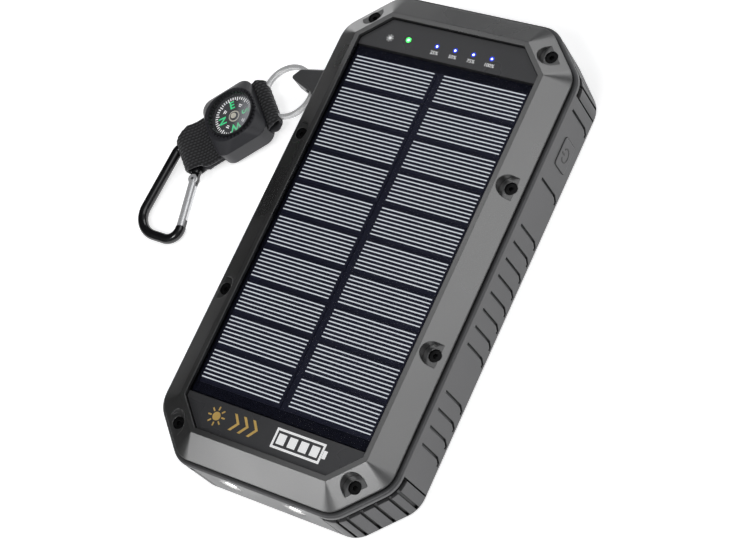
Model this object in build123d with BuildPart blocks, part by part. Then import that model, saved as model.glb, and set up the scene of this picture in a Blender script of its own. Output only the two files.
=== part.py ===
from build123d import *
from math import asin, cos, degrees, hypot, radians, sin, sqrt
import os

# A pocket solar phone charger: a sealed eight-sided case with a solar panel in its top, two
# torch lamps in its near end and USB sockets in its far end, and a split ring, a webbing strap
# with a compass and a carabiner hanging from a lug on its left side.
# The origin is the middle of the flat base. +Y runs to the far end, with the charge lights and
# sockets, +X to the side with the power button, and +Z up through the panel. Sizes are in mm.

os.makedirs("parts", exist_ok=True)

# ---------------------------------------------------------------- case
case_width = 84.0
case_length = 161.0
corner_cut = 14.4  # along X and along Y
wall = 2.4
floor_thickness = 2.0
lower_case_height = 19.2
base_chamfer = 0.8
lip_radius = 0.7
gasket_thickness = 0.8
gasket_width = 0.7
fit_gap = 0.15  # between moulded pieces that drop into each other

# ---------------------------------------------------------------- top cover
seam_inset = 1.4  # cover's lower edge, inside the case's widest outline
seam_band = 0.6
bevel_drop = 4.4
rim_inset = 8.8
rim_width = 1.6
rim_corner_radius = 0.4
panel_recess = 1.4
shelf_thickness = 1.7
tongue_drop = 1.8
tongue_width = 1.4

# ---------------------------------------------------------------- panel and strips
backboard_thickness = 1.0
cell_thickness = 0.3
cell_columns = 2
cell_rows = 10
cell_pitch_x = 31.4
cell_field_margin = 5.8  # length of panel that the cells leave free
cell_gap = 0.5
column_gap = 2.2
cell_field_y = 0.0
panel_far_margin = 21.3  # from the case's far end
panel_near_margin = 20.9  # from its near end
strip_proud = 0.1
step_gap = 0.4
light_x = (-15.2, -4.9, 1.6, 8.0, 14.4)
light_margin = 16.2  # from the case's far end
light_radius = 0.8

# ---------------------------------------------------------------- screws
screw_inset = 4.8
screw_side_y = 27.0
screw_radius = 1.25
screw_head_radius = 1.9
screw_head_height = 1.4
screw_socket_width = 1.7
screw_length = 9.0
screw_clearance = 0.1
head_drop = 0.5  # head's top below its land
land_height = 21.7
land_radius = 3.6
boss_radius = 2.6
boss_top = 18.2
pilot_gap = 0.02

# ---------------------------------------------------------------- corner bumpers
bumper_depth = 1.4
bumper_bottom = 0.8
bumper_top = 15.0
recess_top = 17.6
bumper_end_x = 22.5
bumper_end_margin = 19.0  # from each end of the case
bumper_gap = 0.5
rib_pitch = 4.5
rib_groove_width = 1.0
rib_groove_depth = 0.9

# ---------------------------------------------------------------- side grooves
near_groove_margins = (29.6, 35.1, 40.6, 46.1)  # from the case's near end
middle_groove_y = (-19.25, -13.75, -8.25, -2.75, 2.75, 8.25, 13.75, 19.25)
far_groove_margins = (45.9, 22.9)  # from the case's far end
groove_width = 0.9
groove_depth = 0.7
groove_top = 16.0
groove_foot = 2.1
groove_hook = 2.0

# ---------------------------------------------------------------- power button
button_margin = 34.6  # from the case's far end
button_z = 8.8
button_width = 9.0
button_height = 8.2
button_corner = 1.0
button_gap = 0.12
button_proud = 0.3
button_travel = 0.4
flange_margin = 0.8
flange_thickness = 1.0
stem_radius = 1.5
plunger_radius = 1.0
plunger_gap = 0.06
plunger_reach = 0.8
plunger_inside = 1.2
switch_size = (4.0, 6.2, 3.6)

# ---------------------------------------------------------------- torch
torch_x = 11.5
torch_z = 12.4
torch_radius = 3.5
torch_gap = 0.1
torch_flange_radius = 4.6
torch_flange = 1.0
torch_led_size = (3.5, 1.4, 3.5)
torch_board_size = (40.0, 1.6, 12.0)
torch_board_margin = 6.9  # from the case's near end
torch_dome = 1.1

# ---------------------------------------------------------------- batteries and boards
battery_width = 66.0
battery_thickness = 7.4
battery_near_margin = 16.5  # from the case's near end
battery_far_margin = 42.5  # from its far end
battery_edge = 2.4
foam_thickness = 0.4
board_thickness = 1.6
board_bottom = 5.4
board_inset = 4.2
board_near_margin = 39.5  # from the case's far end
board_boss_gap = 0.5
post_radius = 2.2
post_places = ((-30.0, 24.5), (30.0, 24.5), (0.0, 18.5))  # X, and distance from the far end
board_screw_radius = 1.0
board_screw_head_radius = 1.8
board_screw_head = 1.2
board_screw_length = 4.4
indicator_board_size = (44.0, 8.0, 1.0)
led_size = (1.6, 0.8, 0.6)
wire_radius = 0.7
thin_wire_radius = 0.5

# ---------------------------------------------------------------- sockets and their cover
usb_a_x = 12.2
usb_a_size = (13.1, 14.0, 6.4)
usb_a_wall = 0.35
usb_a_tongue = (11.0, 8.6, 1.6)
usb_a_tongue_drop = 0.5
usb_c_size = (9.0, 7.4, 3.2)
usb_c_wall = 0.35
usb_c_tongue = (6.6, 4.6, 0.7)
usb_front_gap = 0.2
usb_hole_gap = 0.2
flap_x = 43.0
flap_z = (5.0, 15.6)
flap_thickness = 1.3
flap_gap = 0.15
flap_corner = 1.6
flap_anchor_width = 2.0
flap_plug_depth = 0.9
flap_plug_gap = 0.7

# ---------------------------------------------------------------- lug and split ring
lug_reach = 9.9  # from the case's side to the middle of the lug's hole
lug_margin = 30.5  # from the case's far end
lug_hole_height = 7.0
lug_half_height = 4.0
lug_hole_radius = 2.4
lug_edge_radius = 1.0
lug_flare_start = 1.8  # along the ring's direction, each way from the middle of the hole
lug_flare_angle = 18.0
ring_radius = 8.8
ring_wire_width = 1.4
ring_wire_height = 2.2
ring_heading = 213.4

# ---------------------------------------------------------------- strap
strap_heading = 225.8
webbing_thickness = 1.2
loop_slack = 0.3
strap_end = 5.5  # distances along the strap start at the middle of the ring
strap_far_end = 42.3
bar_distance = 39.0
strap_half_width = 9.6
ring_end_half_width = 7.9
bar_height = 3.4
layer_half = 1.3

# ---------------------------------------------------------------- compass
compass_distance = 18.9
compass_length = 19.0
compass_shift = 0.5  # housing's middle, beyond the dial's middle
compass_side = 1.8  # housing beside the strap
compass_corner = 4.0
compass_wall_height = 3.4
compass_top = 6.0
compass_shell_wall = 1.2
channel_gap = 0.1
back_plate_thickness = 1.3
cup_radius = 8.0
cup_wall = 0.6
cup_floor = 0.6
cup_bottom = 2.2
cup_height = 2.6
compass_gap = 0.1
compass_lens_thickness = 0.7
compass_lens_dome = 0.6
bezel_width = 0.9
bezel_height = 1.5
bezel_notches = 36
grip_notches = 40  # cut into the housing around the dial
grip_notch_length = 0.9
grip_notch_width = 0.55
grip_notch_depth = 0.5
card_gap = 0.4
card_thickness = 0.4
card_height = 3.7
card_hub_radius = 1.3
pivot_radius = 0.35
pivot_gap = 0.05

# ---------------------------------------------------------------- carabiner
rod_radius = 1.7
gate_pivot = (8.3, 6.3)  # in the carabiner's own plane, from the middle of its top bar
gate_heading = 10.3
gate_span = 16.6  # pivot to the nose's face
gate_radius = 1.55
gate_tip_gap = 0.3
tang_half = 0.6
slot_half = 0.75
tang_radius = 1.5
hinge_clear = 2.2
nose_tang_length = 2.2
pin_radius = 0.5
pin_gap = 0.05
spring_radius = 0.45
spring_end = 7.0
top_corner = (-4.1, -4.15)
far_corner = (29.6, -7.5)
nose_run = 5.2
shoulder_run = 3.3
rod_radii = (3.0, 2.6, 7.5, 4.2)

# ---------------------------------------------------------------- levels and places that follow
cover_bottom = lower_case_height + gasket_thickness
bevel_foot = cover_bottom + seam_band
cover_top = bevel_foot + bevel_drop
panel_top = cover_top - panel_recess
shelf_top = cover_bottom + shelf_thickness
half_width = case_width / 2
compass_width = 2 * (strap_half_width + channel_gap + compass_side)
card_radius = cup_radius - cup_wall - card_gap
half_length = case_length / 2
panel_far_y = half_length - panel_far_margin
panel_near_y = panel_near_margin - half_length
cell_pitch_y = (panel_far_y - panel_near_y - cell_field_margin) / cell_rows
light_y = half_length - light_margin
bumper_end_y = half_length - bumper_end_margin
groove_y = [margin - half_length for margin in near_groove_margins]
groove_y += list(middle_groove_y) + [half_length - margin for margin in far_groove_margins]
button_y = half_length - button_margin
torch_board_face_y = torch_board_margin - half_length
battery_length = case_length - battery_near_margin - battery_far_margin
battery_size = (battery_width, battery_length, battery_thickness)
battery_y = (battery_near_margin - battery_far_margin) / 2
board_near_y = half_length - board_near_margin
post_points = [(x, half_length - margin) for x, margin in post_places]
lug_y = half_length - lug_margin
recess_inset = rim_inset + rim_width
board_top = board_bottom + board_thickness
screw_side_x = half_width - screw_inset
inset_cut = corner_cut - screw_inset * (2 - sqrt(2))
screw_corner_x = half_width - screw_inset - inset_cut / 2
screw_corner_y = half_length - screw_inset - inset_cut / 2
gasket_step = 0.2
anchor_stud_radius = 0.75
cable_window = (28.0, 3.0, 98.0)  # width, middle along Y, length
usb_a_z = board_top + usb_a_size[2] / 2
usb_c_z = board_top + usb_c_size[2] / 2
socket_front_y = half_length - flap_thickness - flap_gap - usb_front_gap
flap_hinge_x = -flap_x / 2 + flap_anchor_width + flap_gap
flap_anchor_x = -flap_x / 2 + flap_anchor_width / 2
far_plane = Plane(origin=(0, half_length, 0), x_dir=(1, 0, 0), z_dir=(0, -1, 0))

# The ring lies in the strap's own plane, which slopes down from the lug to the carabiner. In that
# plane x runs along the strap from the middle of the ring and z is its upper side.
lug_hole = Vector(-half_width - lug_reach, lug_y, lug_hole_height)
ring_turn = radians(180 + ring_heading - strap_heading)
hole_on_ring = (ring_radius * cos(ring_turn), ring_radius * sin(ring_turn))
strap_slope = asin((lug_hole_height - bar_height) / (bar_distance - hole_on_ring[0]))
heading = radians(strap_heading)
along = Vector(cos(heading) * cos(strap_slope), sin(heading) * cos(strap_slope), -sin(strap_slope))
across = Vector(-sin(heading), cos(heading), 0)
ring_middle = lug_hole - along * hole_on_ring[0] - across * hole_on_ring[1]
strap_plane = Plane(origin=ring_middle, x_dir=along, z_dir=along.cross(across))
strap_side_plane = Plane(origin=ring_middle, x_dir=along, z_dir=-across)
ring_tangent = across * cos(ring_turn) - along * sin(ring_turn)


def outline(inset):
    """The case's eight-sided plan, moved in by inset, with corners that are rounder outside."""
    half_x = half_width - inset
    half_y = half_length - inset
    cut = corner_cut - inset * (2 - sqrt(2))
    radius = max(rim_corner_radius, rim_corner_radius + rim_inset - inset)
    with BuildSketch() as plan:
        with BuildLine():
            Polyline(
                (half_x, cut - half_y),
                (half_x, half_y - cut),
                (half_x - cut, half_y),
                (cut - half_x, half_y),
                (-half_x, half_y - cut),
                (-half_x, cut - half_y),
                (cut - half_x, -half_y),
                (half_x - cut, -half_y),
                close=True,
            )
        make_face()
        fillet(plan.vertices(), radius)
    return plan.sketch


def outline_band(outer_inset, inner_inset):
    """The ring between two of the case's outlines."""
    with BuildSketch() as band:
        add(outline(outer_inset))
        add(outline(inner_inset), mode=Mode.SUBTRACT)
    return band.sketch


def corner_band(sign_x, sign_y, outer_inset, inner_inset, end_gap):
    """The stretch of that ring that wraps one corner of the case."""
    reach = 60.0
    centre_x = sign_x * (bumper_end_x + end_gap + reach / 2)
    centre_y = sign_y * (bumper_end_y + end_gap + reach / 2)
    with BuildSketch() as band:
        add(outline_band(outer_inset, inner_inset))
        with BuildSketch(mode=Mode.PRIVATE) as window:
            with Locations((centre_x, centre_y)):
                Rectangle(reach, reach)
        add(window.sketch, mode=Mode.INTERSECT)
    return band.sketch


def screw_places():
    """Where the eight cover screws stand, each with the heading of its side of the case."""
    places = []
    for sign_x in (-1, 1):
        for sign_y in (-1, 1):
            side = 90 - 90 * sign_x
            places.append((sign_x * screw_side_x, sign_y * screw_side_y, side))
            corner = degrees(asin(sign_y * sqrt(0.5)))
            corner = corner if sign_x > 0 else 180 - corner
            places.append((sign_x * screw_corner_x, sign_y * screw_corner_y, corner))
    return places


screw_spots = screw_places()
screw_points = [(x, y) for x, y, heading in screw_spots]

# ================================================================ lower case
side_plane = Plane(origin=(half_width, 0, 0), x_dir=(0, 1, 0), z_dir=(1, 0, 0))

with BuildPart() as side_grooves:
    with BuildSketch(side_plane):
        for y in groove_y:
            with BuildLine():
                Polyline(
                    (y, groove_top),
                    (y, groove_foot + groove_hook),
                    (y - groove_hook / 2, groove_foot),
                    (y - groove_hook, groove_foot),
                )
            trace(line_width=groove_width)
    extrude(amount=groove_depth, both=True)

lug_offsets = (
    (lug_reach + wall / 2, 5.6),
    (5.0, 4.0),
    (-4.1, 2.3),
    (-6.5, -1.3),
    (2.5, -4.6),
    (5.6, -6.4),
    (lug_reach + wall / 2, -7.2),
)
with BuildPart() as lug:
    with BuildSketch(Plane.XY.offset(lug_hole_height - lug_half_height)) as lug_plan:
        with BuildLine():
            Polyline(*[(lug_hole.X + x, lug_hole.Y + y) for x, y in lug_offsets], close=True)
        make_face()
        fillet(lug_plan.vertices().sort_by(Axis.X)[:5], lug_edge_radius)
    extrude(amount=2 * lug_half_height)
    chamfer(lug.faces().filter_by(Axis.Z).edges(), lug_edge_radius * 0.7)

with BuildPart() as lower_case:
    with BuildSketch():
        add(outline(0))
    extrude(amount=lower_case_height)
    chamfer(lower_case.faces().sort_by(Axis.Z)[0].edges(), base_chamfer)
    fillet(lower_case.faces().sort_by(Axis.Z)[-1].edges(), lip_radius)
    add(lug.part)
    with BuildSketch(Plane.XY.offset(floor_thickness)):
        add(outline(wall))
    extrude(amount=lower_case_height, mode=Mode.SUBTRACT)
    # screw bosses, standing on the floor and joined to the wall
    with BuildSketch(Plane.XY.offset(floor_thickness / 2)):
        with Locations(*screw_points):
            Circle(boss_radius)
    extrude(amount=boss_top - floor_thickness / 2)
    with BuildSketch(Plane.XY.offset(boss_top)):
        with Locations(*screw_points):
            Circle(screw_radius + pilot_gap)
    extrude(amount=-screw_length, mode=Mode.SUBTRACT)
    # posts for the main board
    with BuildSketch(Plane.XY.offset(floor_thickness / 2)):
        with Locations(*post_points):
            Circle(post_radius)
    extrude(amount=board_bottom - floor_thickness / 2)
    with BuildSketch(Plane.XY.offset(board_bottom)):
        with Locations(*post_points):
            Circle(board_screw_radius + pilot_gap)
    extrude(amount=board_thickness - board_screw_length, mode=Mode.SUBTRACT)
    # slotted rails that hold the torch board upright
    rail_size = (3.0, 4.4, torch_z + torch_board_size[2] / 2 - floor_thickness / 2)
    rail_y = torch_board_face_y + torch_board_size[1] / 2
    for sign in (-1, 1):
        with Locations((sign * torch_board_size[0] / 2, rail_y, floor_thickness / 2)):
            Box(*rail_size, align=(Align.CENTER, Align.CENTER, Align.MIN))
    slot = (torch_board_size[0] + 2 * fit_gap, torch_board_size[1] + 2 * fit_gap, torch_board_size[2])
    with Locations((0, rail_y, torch_z - torch_board_size[2] / 2)):
        Box(slot[0], slot[1], slot[2] + 1, align=(Align.CENTER, Align.CENTER, Align.MIN), mode=Mode.SUBTRACT)
    # recesses for the corner bumpers
    for sign_x in (-1, 1):
        for sign_y in (-1, 1):
            with BuildSketch(Plane.XY.offset(bumper_bottom)):
                add(corner_band(sign_x, sign_y, -base_chamfer, bumper_depth, 0))
            extrude(amount=recess_top - bumper_bottom, mode=Mode.SUBTRACT)
    # grooves down both long sides
    add(side_grooves.part, mode=Mode.SUBTRACT)
    add(mirror(side_grooves.part, about=Plane.YZ), mode=Mode.SUBTRACT)
    # window for the power button
    with BuildSketch(side_plane):
        with Locations((button_y, button_z)):
            RectangleRounded(button_width + 2 * button_gap, button_height + 2 * button_gap, button_corner)
    extrude(amount=-2 * wall, mode=Mode.SUBTRACT)
    # torch lamp holes
    with BuildSketch(Plane(origin=(0, -half_length, 0), x_dir=(1, 0, 0), z_dir=(0, -1, 0))):
        with Locations((-torch_x, torch_z), (torch_x, torch_z)):
            Circle(torch_radius + torch_gap)
    extrude(amount=-2 * wall, mode=Mode.SUBTRACT)
    # hole for the split ring, along the ring's own direction there
    with BuildSketch(Plane(origin=lug_hole, z_dir=ring_tangent)):
        Circle(lug_hole_radius)
    extrude(amount=lug_reach, both=True, mode=Mode.SUBTRACT)
    # the hole opens out towards both ends, so that the ring can swing
    for sign in (-1, 1):
        mouth = lug_hole + ring_tangent * (sign * lug_flare_start)
        with BuildSketch(Plane(origin=mouth, z_dir=ring_tangent * sign)):
            Circle(lug_hole_radius)
        extrude(amount=lug_half_height, taper=-lug_flare_angle, mode=Mode.SUBTRACT)
    # pocket and holes for the sockets
    flap_middle_z = sum(flap_z) / 2
    flap_height = flap_z[1] - flap_z[0]
    with BuildSketch(far_plane):
        with Locations((0, flap_middle_z)):
            RectangleRounded(flap_x + 2 * flap_gap, flap_height + 2 * flap_gap, flap_corner)
    extrude(amount=flap_thickness + flap_gap, mode=Mode.SUBTRACT)
    with BuildSketch(far_plane):
        with Locations((-usb_a_x, usb_a_z), (usb_a_x, usb_a_z)):
            Rectangle(usb_a_size[0] + 2 * usb_hole_gap, usb_a_size[2] + 2 * usb_hole_gap)
        with Locations((0, usb_c_z)):
            RectangleRounded(
                usb_c_size[0] + 2 * usb_hole_gap, usb_c_size[2] + 2 * usb_hole_gap, usb_c_size[2] / 2
            )
        with Locations((flap_anchor_x, flap_middle_z)):
            Circle(anchor_stud_radius)
    extrude(amount=2 * wall, mode=Mode.SUBTRACT)

with BuildPart() as seal_gasket:
    with BuildSketch(Plane.XY.offset(lower_case_height)):
        add(outline_band(seam_inset + gasket_step, seam_inset + gasket_step + gasket_width))
    extrude(amount=gasket_thickness)


def corner_bumper(sign_x, sign_y):
    """A rubber pad that wraps one corner, with upright grooves at an even pitch round it."""
    middle_x = sign_x * (half_width - corner_cut / 2)
    middle_y = sign_y * (half_length - corner_cut / 2)
    with BuildPart() as bumper:
        with BuildSketch(Plane.XY.offset(bumper_bottom)):
            add(corner_band(sign_x, sign_y, 0, bumper_depth, bumper_gap))
        extrude(amount=bumper_top - bumper_bottom)
        height = bumper_top
        heading = degrees(asin(sign_y * sqrt(0.5)))
        heading = heading if sign_x > 0 else 180 - heading
        for step in (-1.5, -0.5, 0.5, 1.5):
            along = step * rib_pitch * sqrt(0.5)
            place = (middle_x - sign_x * along, middle_y + sign_y * along, bumper_bottom)
            with Locations(Location(place, (0, 0, heading))):
                Box(2 * rib_groove_depth, rib_groove_width, 2 * height, mode=Mode.SUBTRACT)
        # one groove on each rounded end of the chamfer
        round_inset = (rim_corner_radius + rim_inset) * (1 / cos(radians(22.5)) - 1)
        for corner_x, corner_y, turn in (
            (half_width, half_length - corner_cut, 22.5),
            (half_width - corner_cut, half_length, 67.5),
        ):
            x = sign_x * (corner_x - round_inset * cos(radians(turn)))
            y = sign_y * (corner_y - round_inset * sin(radians(turn)))
            spin = turn * sign_x * sign_y
            with Locations(Location((x, y, bumper_bottom), (0, 0, spin))):
                Box(2 * rib_groove_depth, rib_groove_width, 2 * height, mode=Mode.SUBTRACT)
    return bumper.part


# ================================================================ top cover
with BuildPart() as top_cover:
    with BuildSketch(Plane.XY.offset(cover_bottom)):
        add(outline(seam_inset))
    extrude(amount=seam_band)
    with BuildSketch(Plane.XY.offset(bevel_foot)):
        add(outline(seam_inset))
    with BuildSketch(Plane.XY.offset(cover_top)):
        add(outline(rim_inset))
    loft(ruled=True)
    # recess for the panel and strips
    with BuildSketch(Plane.XY.offset(shelf_top)):
        add(outline(recess_inset))
    extrude(amount=cover_top, mode=Mode.SUBTRACT)
    # tongue that drops inside the lower case's wall, and pads under the screws
    with BuildSketch(Plane.XY.offset(cover_bottom + shelf_thickness / 2)):
        add(outline_band(wall + fit_gap, wall + fit_gap + tongue_width))
    extrude(amount=-tongue_drop - shelf_thickness / 2)
    with BuildSketch(Plane.XY.offset(cover_bottom + shelf_thickness / 2)):
        with Locations(*screw_points):
            Circle(screw_inset - wall - fit_gap)
    extrude(amount=-tongue_drop - shelf_thickness / 2)
    # arched lands for the screws, open towards the bevel's outer edge
    for x, y, heading in screw_spots:
        outward = (cos(radians(heading)), sin(radians(heading)), 0)
        with BuildSketch(Plane(origin=(x, y, land_height), x_dir=outward)):
            Circle(land_radius)
            with Locations((screw_inset, 0)):
                Rectangle(2 * screw_inset, 2 * land_radius)
        extrude(amount=cover_top, mode=Mode.SUBTRACT)
    head_seat = land_height - head_drop - screw_head_height
    with BuildSketch(Plane.XY.offset(head_seat)):
        with Locations(*screw_points):
            Circle(screw_head_radius + screw_clearance)
    extrude(amount=cover_top, mode=Mode.SUBTRACT)
    with BuildSketch(Plane.XY.offset(cover_bottom - 2 * tongue_drop)):
        with Locations(*screw_points):
            Circle(screw_radius + screw_clearance)
    extrude(amount=cover_top, mode=Mode.SUBTRACT)
    # windows in the shelf for the panel's wires and for the charge lights
    with BuildSketch(Plane.XY.offset(cover_bottom)):
        with Locations((0, cable_window[1])):
            RectangleRounded(cable_window[0], cable_window[2], 3)
        with Locations((0, light_y)):
            Rectangle(indicator_board_size[0] - 6, led_size[1] + 2.4)
    extrude(amount=shelf_thickness, mode=Mode.SUBTRACT)


def cover_screw(x, y):
    """A socket-head screw, from its recessed head down into its boss."""
    head_top = land_height - head_drop
    with BuildPart() as screw:
        with BuildSketch(Plane.XY.offset(head_top)):
            with Locations((x, y)):
                Circle(screw_head_radius)
        extrude(amount=-screw_head_height)
        with BuildSketch(Plane.XY.offset(head_top - screw_head_height)):
            with Locations((x, y)):
                Circle(screw_radius)
        extrude(amount=screw_head_height - head_top + boss_top - screw_length + 1)
        with BuildSketch(Plane.XY.offset(head_top)):
            with Locations((x, y)):
                RegularPolygon(screw_socket_width / 2, 6)
        extrude(amount=-screw_head_height * 0.6, mode=Mode.SUBTRACT)
    return screw.part


# ================================================================ solar panel and strips
panel_half_x = half_width - recess_inset - fit_gap
panel_middle_y = (panel_far_y + panel_near_y) / 2
panel_length = panel_far_y - panel_near_y
cells_top = shelf_top + backboard_thickness + cell_thickness

with BuildPart() as panel_backboard:
    with BuildSketch(Plane.XY.offset(shelf_top)):
        with Locations((0, panel_middle_y)):
            Rectangle(2 * panel_half_x, panel_length)
    extrude(amount=backboard_thickness)

with BuildPart() as solar_cells:
    with BuildSketch(Plane.XY.offset(cells_top - cell_thickness)):
        with Locations((0, cell_field_y)):
            with GridLocations(cell_pitch_x, cell_pitch_y, cell_columns, cell_rows):
                Rectangle(cell_pitch_x - column_gap, cell_pitch_y - cell_gap)
    extrude(amount=cell_thickness)

with BuildPart() as panel_lens:
    with BuildSketch(Plane.XY.offset(shelf_top + backboard_thickness)):
        with Locations((0, panel_middle_y)):
            Rectangle(2 * panel_half_x, panel_length)
    extrude(amount=panel_top - shelf_top - backboard_thickness)
    field = (cell_columns * cell_pitch_x - column_gap + 0.2, cell_rows * cell_pitch_y - cell_gap + 0.2)
    with BuildSketch(Plane.XY.offset(shelf_top + backboard_thickness)):
        with Locations((0, cell_field_y)):
            Rectangle(*field)
    extrude(amount=cell_thickness, mode=Mode.SUBTRACT)


def strip(sign_y, panel_edge):
    """The moulded strip that fills the recess between one end of the panel and the rim."""
    reach = 100.0
    with BuildPart() as piece:
        with BuildSketch(Plane.XY.offset(shelf_top)):
            add(outline(recess_inset + fit_gap))
            with BuildSketch(mode=Mode.PRIVATE) as window:
                with Locations((0, panel_edge + sign_y * (step_gap + reach / 2))):
                    Rectangle(reach, reach)
            add(window.sketch, mode=Mode.INTERSECT)
        extrude(amount=panel_top + strip_proud - shelf_top)
    return piece.part


with BuildPart() as indicator_strip:
    add(strip(1, panel_far_y))
    with BuildSketch(Plane.XY.offset(shelf_top)):
        with Locations(*[(x, light_y) for x in light_x]):
            Circle(light_radius + 0.02)
    extrude(amount=cover_top, mode=Mode.SUBTRACT)

with BuildPart() as lower_strip:
    add(strip(-1, panel_near_y))

with BuildPart() as indicator_lenses:
    with BuildSketch(Plane.XY.offset(shelf_top)):
        with Locations(*[(x, light_y) for x in light_x]):
            Circle(light_radius)
    extrude(amount=panel_top + strip_proud - shelf_top)

with BuildPart() as indicator_board:
    with Locations((0, light_y, cover_bottom)):
        Box(*indicator_board_size, align=(Align.CENTER, Align.CENTER, Align.MAX))

with BuildPart() as indicator_leds:
    with Locations(*[(x, light_y, cover_bottom) for x in light_x]):
        Box(*led_size, align=(Align.CENTER, Align.CENTER, Align.MIN))

# ================================================================ batteries, foam and boards
foam_bottom = floor_thickness
lower_cell_bottom = foam_bottom + foam_thickness
upper_cell_bottom = lower_cell_bottom + battery_size[2] + foam_thickness
battery_top = upper_cell_bottom + battery_size[2]
battery_far_y = battery_y + battery_size[1] / 2
battery_near_y = battery_y - battery_size[1] / 2


def battery_cell(bottom):
    """A flat pouch cell with rounded long edges."""
    with BuildPart() as cell:
        with BuildSketch(Plane.XZ.offset(-battery_far_y)):
            with Locations((0, bottom + battery_size[2] / 2)):
                RectangleRounded(battery_size[0], battery_size[2], battery_edge)
        extrude(amount=battery_size[1])
    return cell.part


with BuildPart() as foam_pads:
    foam_x = battery_size[0] / 2 - battery_edge - 8
    for level, thickness in (
        (foam_bottom, foam_thickness),
        (upper_cell_bottom - foam_thickness, foam_thickness),
        (battery_top, cover_bottom - battery_top),
    ):
        with BuildSketch(Plane.XY.offset(level)):
            with Locations((-foam_x, battery_y), (foam_x, battery_y)):
                Rectangle(12, battery_size[1] - 12)
        extrude(amount=thickness)

with BuildPart() as main_board:
    with BuildSketch(Plane.XY.offset(board_bottom)):
        add(outline(board_inset))
        with BuildSketch(mode=Mode.PRIVATE) as board_window:
            with Locations((0, board_near_y + case_length / 2)):
                Rectangle(case_width, case_length)
        add(board_window.sketch, mode=Mode.INTERSECT)
        with Locations(*screw_points):
            Circle(boss_radius + board_boss_gap, mode=Mode.SUBTRACT)
        with Locations(*post_points):
            Circle(board_screw_radius + screw_clearance, mode=Mode.SUBTRACT)
    extrude(amount=board_thickness)


def board_screw(x, y):
    """A small pan-head screw that holds the main board on its post."""
    with BuildPart() as screw:
        with BuildSketch(Plane.XY.offset(board_top)):
            with Locations((x, y)):
                Circle(board_screw_head_radius)
        extrude(amount=board_screw_head)
        with BuildSketch(Plane.XY.offset(board_top)):
            with Locations((x, y)):
                Circle(board_screw_radius)
        extrude(amount=-board_screw_length)
        with BuildSketch(Plane.XY.offset(board_top + board_screw_head)):
            with Locations((x, y)):
                Rectangle(2.2, 0.5)
                Rectangle(0.5, 2.2)
        extrude(amount=-board_screw_head / 2, mode=Mode.SUBTRACT)
    return screw.part


with BuildPart() as usb_a_ports:
    back_y = socket_front_y - usb_a_size[1]
    with BuildSketch(Plane(origin=(0, back_y, 0), x_dir=(-1, 0, 0), z_dir=(0, 1, 0))):
        with Locations((-usb_a_x, usb_a_z), (usb_a_x, usb_a_z)):
            Rectangle(usb_a_size[0], usb_a_size[2])
    extrude(amount=usb_a_size[1])
    with BuildSketch(Plane(origin=(0, back_y + 3, 0), x_dir=(-1, 0, 0), z_dir=(0, 1, 0))):
        with Locations((-usb_a_x, usb_a_z), (usb_a_x, usb_a_z)):
            Rectangle(usb_a_size[0] - 2 * usb_a_wall, usb_a_size[2] - 2 * usb_a_wall)
    extrude(amount=usb_a_size[1], mode=Mode.SUBTRACT)
    tongue_z = board_top + usb_a_size[2] - usb_a_wall - usb_a_tongue_drop
    with Locations((-usb_a_x, back_y + 2, tongue_z), (usb_a_x, back_y + 2, tongue_z)):
        Box(*usb_a_tongue, align=(Align.CENTER, Align.MIN, Align.MAX))

with BuildPart() as usb_c_port:
    back_y = socket_front_y - usb_c_size[1]
    with BuildSketch(Plane(origin=(0, back_y, 0), x_dir=(-1, 0, 0), z_dir=(0, 1, 0))):
        with Locations((0, usb_c_z)):
            RectangleRounded(usb_c_size[0], usb_c_size[2], usb_c_size[2] / 2 - 0.05)
    extrude(amount=usb_c_size[1])
    with BuildSketch(Plane(origin=(0, back_y + 1.5, 0), x_dir=(-1, 0, 0), z_dir=(0, 1, 0))):
        with Locations((0, usb_c_z)):
            RectangleRounded(
                usb_c_size[0] - 2 * usb_c_wall,
                usb_c_size[2] - 2 * usb_c_wall,
                usb_c_size[2] / 2 - usb_c_wall - 0.05,
            )
    extrude(amount=usb_c_size[1], mode=Mode.SUBTRACT)
    with Locations((0, back_y + 1, usb_c_z)):
        Box(*usb_c_tongue, align=(Align.CENTER, Align.MIN, Align.CENTER))

with BuildPart() as port_cover:
    flap_left = flap_hinge_x + flap_gap
    flap_right = flap_x / 2
    with BuildSketch(far_plane):
        with Locations(((flap_left + flap_right) / 2, flap_middle_z)):
            Rectangle(flap_right - flap_left, flap_height)
    extrude(amount=flap_thickness)
    fillet(port_cover.edges().filter_by(Axis.Y).sort_by(Axis.X)[-2:], flap_corner)
    with BuildSketch(far_plane.offset(flap_thickness)):
        with Locations((-usb_a_x, usb_a_z), (usb_a_x, usb_a_z)):
            Rectangle(
                usb_a_size[0] - 2 * usb_a_wall - 2 * flap_plug_gap,
                usb_a_size[2] - 2 * usb_a_wall - 2 * flap_plug_gap,
            )
        with Locations((0, usb_c_z)):
            Rectangle(usb_c_size[0] - 2 * usb_c_wall - 3 * flap_plug_gap, usb_c_size[2] / 3)
    extrude(amount=flap_plug_depth)

with BuildPart() as port_cover_anchor:
    with BuildSketch(far_plane):
        with Locations((flap_anchor_x, flap_middle_z)):
            Rectangle(flap_anchor_width, flap_height)
    extrude(amount=flap_thickness)
    fillet(port_cover_anchor.edges().filter_by(Axis.Y).sort_by(Axis.X)[:2], flap_corner)
    with BuildSketch(far_plane):
        with Locations((flap_anchor_x, flap_middle_z)):
            Circle(anchor_stud_radius - fit_gap / 3)
    extrude(amount=wall + 0.6)

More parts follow.
